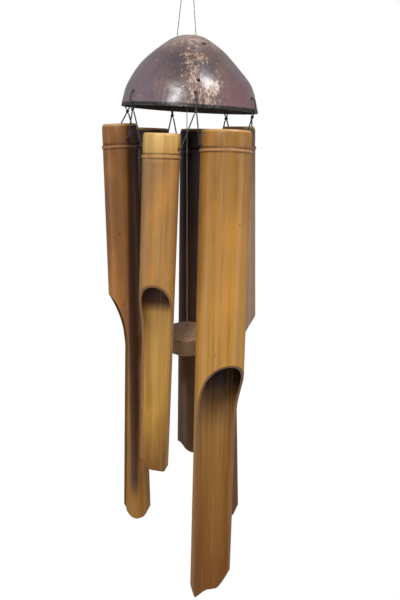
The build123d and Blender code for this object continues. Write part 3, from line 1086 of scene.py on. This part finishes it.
def knots(pale, dark):
    for tie in TIE_AZIMUTHS:
        knot(f"knot_{tie}", tie_knot_centre(tie), 2.9, 4.2, 1.1, "shell", "dark_cord", dark,
             f"rim_knot_{tie}")
    knot("knot_top", TOP_KNOT, 3.6, 3.6, 1.0, "knot", "pale_line", pale, "top_knot")
    knot("knot_striker", striker_knot_centre(), 4.4, 4.2, 1.2, "striker_line", "pale_line", pale,
         "striker_knot")
    round_line = []
    for step in range(61):
        turn = 4 * pi * step / 60
        along_line = 1.1 * (step / 60 - 0.5)
        round_line.append(
            STRIKER_TIE + Vector((TURN_RADIUS * cos(turn), along_line, TURN_RADIUS * sin(turn)))
        )
    knot("knot_hitch", hitch_knot_centre(), 3.0, 3.0, 0.9, "striker_hitch", "pale_line", pale,
         "striker_hitch", [(round_line, LINE / 2)])


def striker_line(material):
    top = hitch_knot_centre().z - HITCH_KNOT_RADIUS - GAP
    bottom = striker_knot_centre().z + STRIKER_KNOT_RADIUS
    ends = [striker_axis_point(top), striker_axis_point(bottom)]
    middle = (ends[0] + ends[1]) / 2
    cord_curve("striker_line", [ends[0], middle, ends[1]], LINE, "striker_line", "pale_line",
               material, top - bottom, "striker_cord")


# ---- striker ----


def striker():
    """A slice of branch: nearly round, its edges softened and its faces a little dished."""
    half = STRIKER_THICKNESS / 2
    radius = STRIKER_RADIUS
    turned = Matrix.Rotation(radians(STRIKER_TILT), 3, "X")
    centre = striker_axis_point(STRIKER_CENTRE_Z)
    upper_half = [
        (radius * 0.35, half - 0.25), (radius * 0.7, half - 0.15), (radius - 1.6, half),
        (radius - 0.9, half - 0.15), (radius - 0.25, half - 0.7), (radius, half - 1.6),
        (radius, half * 0.4),
    ]
    profile = upper_half + [(r, -z) for r, z in reversed(upper_half)]
    face, side = 0, 1
    face_bands = 3
    surface = Surface()
    rings = []
    for r, z in profile:
        ring = []
        for column in range(STRIKER_COLUMNS):
            turn = 2 * pi * column / STRIKER_COLUMNS
            lump = 1 + 0.008 * sin(3 * turn + 0.7) + 0.005 * sin(5 * turn + 2)
            where = Vector((r * lump * cos(turn), r * lump * sin(turn), z))
            ring.append(surface.add(centre + turned @ where))
        rings.append(ring)
    for number, (near, far) in enumerate(zip(rings, rings[1:])):
        is_face = min(number, len(rings) - 2 - number) < face_bands
        surface.band(face if is_face else side, near, far)
    for ring, z in ((rings[0], half - 0.3), (rings[-1], 0.3 - half)):
        surface.fan(face, ring, surface.add(centre + turned @ Vector((0, 0, z))))
    # The faces' pale colour is partly painted light, raised so that the upper face looks lit though it
    # sits in shade; the rest is the wood's own colour.
    materials = [
        striker_material("striker_face", (166, 132, 104), (204, 170, 138), True),
        striker_material("striker_side", (104, 77, 46), (134, 102, 66), False),
    ]
    piece = new_piece("striker", surface.mesh("striker"), "striker_disc", "striker_wood", materials,
                      "striker_disc")
    reach = Vector((0, 0, 25))
    drilled_and_worn(piece, [(centre - reach, centre + reach, STRIKER_HOLE_RADIUS)], 0, 50)
    mark_places(piece.data, PieceFrame(centre, *turned.col))


# ---- light, floor and camera ----


def area_light(name, place, aim_height, size, power):
    """A round light that looks at a height on the chime's axis."""
    lamp = bpy.data.lights.new(name, "AREA")
    lamp.shape = "DISK"
    lamp.size = size
    lamp.energy = power
    light = linked(name, lamp)
    light.location = place
    towards = Vector((0, 0, aim_height)) - Vector(place)
    light.rotation_euler = towards.to_track_quat("-Z", "Y").to_euler()


def white_world():
    """A world that is white to the camera and gives only a weak light to the chime."""
    world = bpy.data.worlds.new("studio")
    world.use_nodes = True
    nodes, links = world.node_tree.nodes, world.node_tree.links
    seen = nodes.new("ShaderNodeLightPath")
    strength = nodes.new("ShaderNodeMapRange")
    strength.inputs["To Min"].default_value = WORLD_LIGHT
    links.new(seen.outputs["Is Camera Ray"], strength.inputs["Value"])
    links.new(strength.outputs[0], nodes["Background"].inputs["Strength"])
    nodes["Background"].inputs["Color"].default_value = (1, 1, 1, 1)
    return world


def pale_floor():
    surface = Surface()
    for x, y in ((-1, -1), (1, -1), (1, 1), (-1, 1)):
        surface.add(Vector((x * FLOOR_HALF, y * FLOOR_HALF, FLOOR_Z)))
    surface.face(0, 0, 1, 2, 3)
    shader = Shader("floor")
    grain = shader.noise(shader.place(), 6, 2)
    shader.set("Base Color", shader.mix(grain, (0.86, 0.86, 0.86, 1), (0.9, 0.9, 0.9, 1)))
    floor = linked("floor", surface.mesh("floor"))
    floor.data.materials.append(shader.material)
    floor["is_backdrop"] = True


def studio():
    scene = bpy.context.scene
    scene.view_settings.view_transform = "Standard"
    scene.world = white_world()
    area_light("key", (-1.0, -2.2, 1.15), -0.35, 0.92, 38)
    area_light("front", (-0.3, -3.4, -0.3), -0.35, 1.3, 12)
    area_light("window", (1.6, -1.6, 2.1), -0.25, 1.35, 68)
    area_light("left side", (-2.2, -0.4, -0.2), -0.35, 0.9, 8)
    area_light("right side", (2.2, -0.4, -0.2), -0.35, 0.9, 8)
    pale_floor()

    camera_data = bpy.data.cameras.new("camera")
    camera_data.sensor_fit = "VERTICAL"
    camera_data.sensor_height = 24
    camera_data.lens = 182.6
    camera = linked("camera", camera_data)
    camera.location = (0.0096, -4.0, -0.3416)
    camera.rotation_euler = (radians(90), 0, 0)
    scene.camera = camera


# ---- the chime ----

# How strong each tube's figure and gloss are, and its display colours: the skin's at shares of the
# tube's length, the inside wall's at millimetres below the opening's top, the sawn faces' and the
# ridge's. A tube with a shadow strip gets a painted shadow in a dark strip between two edges, each its
# place at the top and foot. The inside wall's darkest first stops are painted shadow of the wall above.
LOOKS = {
    "front_right": {
        "figure": 1, "gloss": 0.12, "sawn": (98, 66, 38), "ridge": (206, 152, 128),
        "skin": [(0, (138, 98, 44)), (0.3, (158, 114, 49)), (0.55, (168, 122, 48)), (1, (118, 76, 26))],
        "inside": [(0, (22, 12, 12)), (12, (40, 26, 20)), (34, (118, 82, 42)), (60, (134, 94, 42)),
                   (110, (130, 87, 34)), (200, (105, 62, 18))],
    },
    "front_left": {
        "figure": 1, "gloss": 0.12, "sawn": (116, 78, 42), "ridge": (150, 108, 62),
        "skin": [(0, (204, 172, 104)), (0.06, (184, 142, 78)), (0.09, (142, 104, 60)),
                 (0.4, (154, 114, 58)), (1, (130, 92, 36))],
        "inside": [(0, (48, 30, 25)), (15, (74, 48, 38)), (24, (174, 134, 70)), (110, (174, 132, 58)),
                   (162, (112, 74, 30))],
    },
    "left": {
        "figure": 0.9, "gloss": 0.07, "sawn": (104, 68, 36), "ridge": (190, 140, 98),
        "shadow_strip": ((0.42, -0.2), (1.3, 0.25)),
        "skin": [(0, (116, 78, 38)), (0.06, (114, 73, 32)), (0.4, (128, 80, 31)), (1, (134, 94, 34))],
        "inside": [(0, (60, 38, 22)), (40, (108, 70, 30)), (120, (156, 112, 48)), (198, (132, 92, 34))],
    },
    "right": {
        "figure": 0.5, "gloss": 0.08, "sawn": (86, 62, 42), "ridge": (120, 92, 70),
        "skin": [(0, (84, 60, 44)), (0.2, (136, 112, 92)), (0.5, (136, 112, 92)), (1, (96, 70, 48))],
        "inside": [(0, (40, 28, 20)), (60, (64, 46, 32)), (192, (86, 62, 40))],
    },
    # The rear and rear_left skins and ridges are near-black at the top and browner towards the foot:
    # their dark tops are painted shade, where the shell and the front tubes keep the light off.
    "rear": {
        "figure": 0.2, "gloss": 0.03, "sawn": (64, 44, 30), "ridge": (40, 30, 28),
        "skin": [(0, (5, 5, 9)), (0.15, (12, 8, 11)), (0.45, (57, 34, 25)), (1, (76, 49, 20))],
        "inside": [(0, (30, 22, 18)), (60, (54, 38, 28)), (155, (80, 56, 36))],
    },
    "rear_left": {
        "figure": 0.2, "gloss": 0.03, "sawn": (64, 44, 30), "ridge": (52, 38, 30),
        "skin": [(0, (14, 10, 8)), (0.15, (30, 20, 14)), (0.6, (62, 38, 24)), (1, (68, 46, 30))],
        "inside": [(0, (30, 22, 18)), (60, (54, 38, 28)), (125, (72, 52, 36))],
    },
}

# The cords' lengths, as measured along the CAD's routes.
HANGING_LINE_LENGTH = 395
RIM_LOOP_LENGTH = 37
TUBE_CORD_LENGTHS = {
    "front_right": 104.6, "right": 87, "rear": 83.5,
    "rear_left": 87.6, "left": 88.2, "front_left": 104.5,
}


def main():
    studio()
    pale, dark, wire = pale_line_material(), dark_cord_material(), ring_material()
    for node, material in (("hanging_ring", wire), ("hanging_loop", pale)):
        for material_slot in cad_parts[node].material_slots:
            material_slot.material = material
    coconut()
    hanging_line(pale)
    for tie in TIE_AZIMUTHS:
        rim_loop(tie, dark)
    for seed, tube in enumerate(TUBES, start=1):
        bamboo_tube(tube, LOOKS[tube.name], seed)
        tube_cord(tube, dark, TUBE_CORD_LENGTHS[tube.name])
    knots(pale, dark)
    striker_line(pale)
    striker()


def corners(bounds):
    return [[round(value, 5) for value in corner] for corner in bounds]


main()
{"cad": corners(cad_bounds), "visual": corners(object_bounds())}
